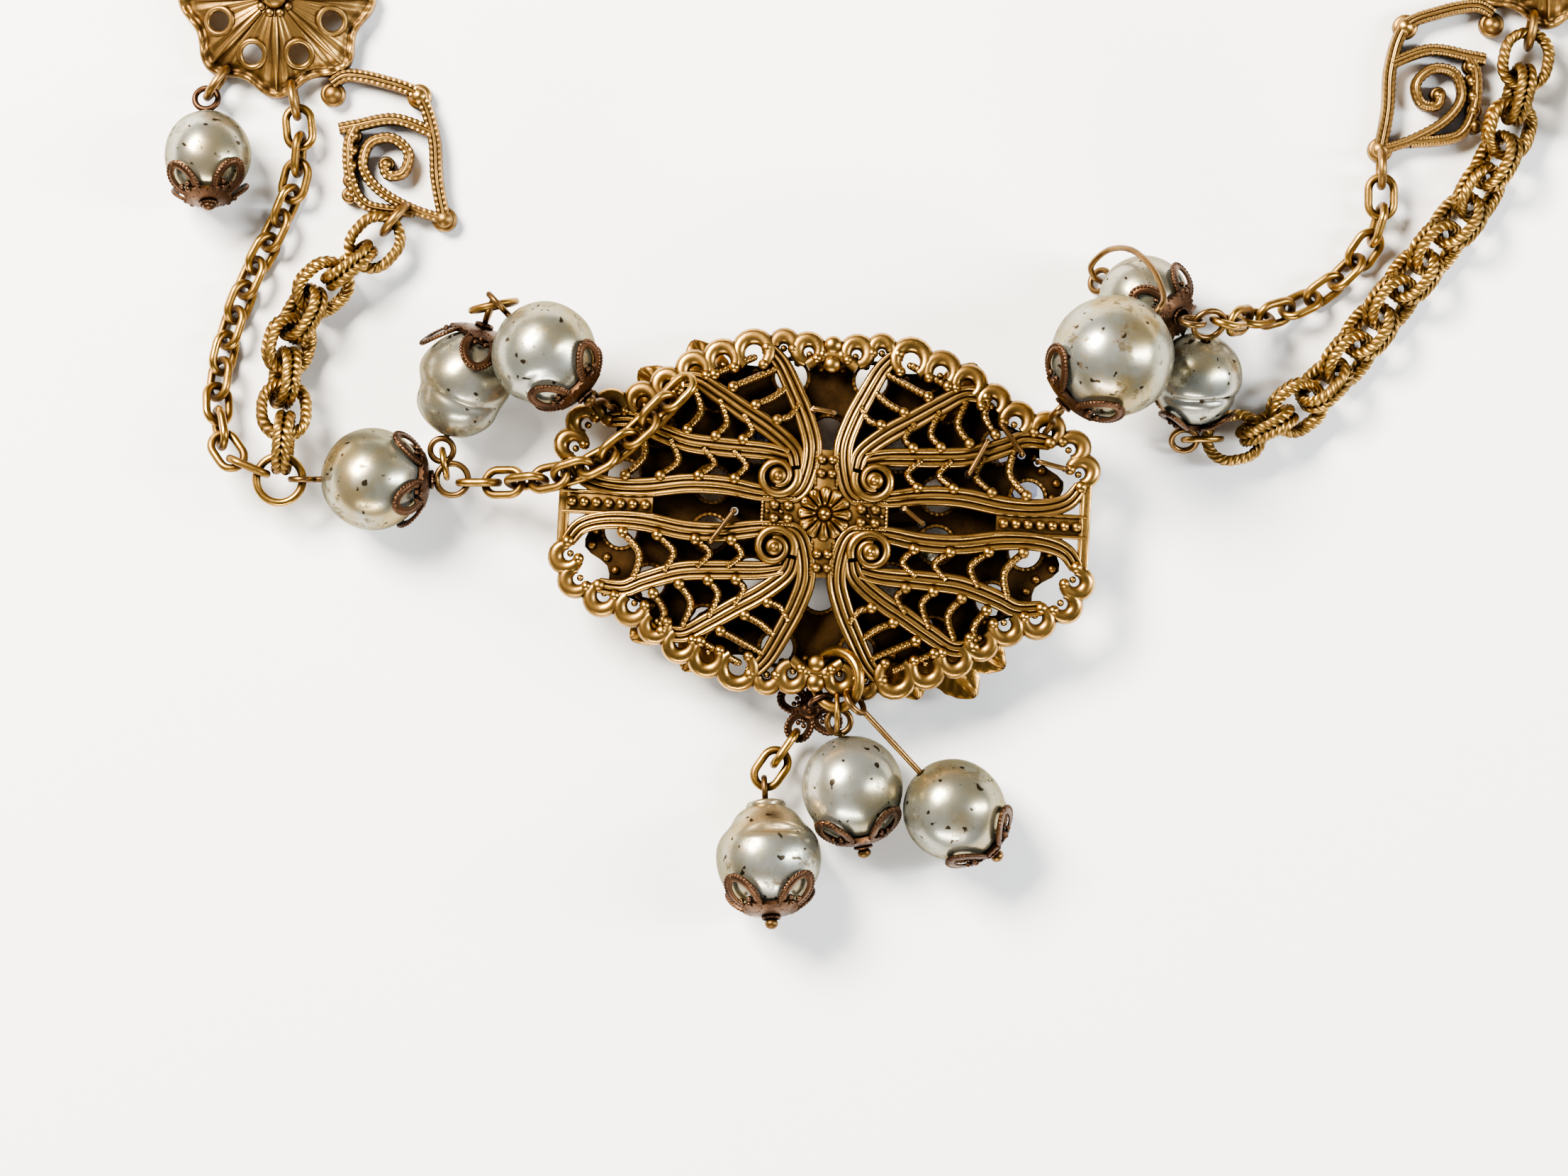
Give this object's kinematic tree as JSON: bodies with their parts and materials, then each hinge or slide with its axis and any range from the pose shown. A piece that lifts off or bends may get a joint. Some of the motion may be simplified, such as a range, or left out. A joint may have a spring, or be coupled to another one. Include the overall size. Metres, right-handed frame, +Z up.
{
  "type": "baroque pearl necklace",
  "caption": "Baroque pearl necklace lying face down, with a pierced oval back plate, capped pearls, pearl drops, flower stations and cable chains round an open neck loop.",
  "frame": {"origin": "middle of the necklace's outline on the table it lies on", "axes": "+X to the right in the picture, +Y from the drops towards the clasp at the back of the neck, +Z up from the table"},
  "size_m": [0.1416, 0.1614, 0.0192],
  "materials": {
    "antique_gold": "antique, rubbed high points",
    "gold_link": "antique satin",
    "antique_rope_link": "antique twisted wire",
    "dark_copper": "dark oxidised",
    "wire": "drawn wire",
    "pearl": "nacre lustre",
    "blue_glass": "faceted"
  },
  "bodies": {
    "root": {"back_plate": "antique_gold", "front_plate": "antique_gold", "leaves_left": "antique_gold", "leaves_right": "antique_gold", "blue_stone_1": "blue_glass", "blue_stone_2": "blue_glass", "blue_stone_3": "blue_glass", "front_pearl_1": "pearl", "front_pearl_2": "pearl", "front_pearl_3": "pearl", "front_pearl_4": "pearl", "binding_wires": "wire", "pearl_1": "pearl", "pearl_2": "pearl", "pearl_3": "pearl", "pearl_4": "pearl", "pearl_5": "pearl", "pearl_6": "pearl", "cap_1": "dark_copper", "cap_2": "dark_copper", "cap_3": "dark_copper", "cap_4": "dark_copper", "cap_5": "dark_copper", "cap_6": "dark_copper", "pin_1": "wire", "pin_2": "wire", "pin_3": "wire", "pin_4": "wire", "pin_5": "wire", "pin_6": "wire", "drop_pearl_a": "pearl", "drop_pearl_b": "pearl", "drop_pearl_c": "pearl", "drop_cap_a": "dark_copper", "drop_cap_b": "dark_copper", "drop_cap_c": "dark_copper", "drop_pin_a": "wire", "drop_pin_b": "wire", "drop_pin_c": "wire", "drop_flower": "dark_copper", "drop_ring": "antique_gold", "joining_rings": "antique_gold", "plate_chain": "gold_link", "fine_chain_left": "gold_link", "fine_chain_right": "gold_link", "heavy_chain_left": "antique_rope_link", "heavy_chain_right": "antique_rope_link", "back_chain_left": "antique_rope_link", "back_chain_right": "antique_rope_link", "station_left": "antique_gold", "station_pearl_left": "pearl", "station_cap_left": "dark_copper", "station_right": "antique_gold", "station_pearl_right": "pearl", "station_cap_right": "dark_copper", "clasp_hook": "gold_link", "clasp_ring": "gold_link"}
  },
  "joints": []
}
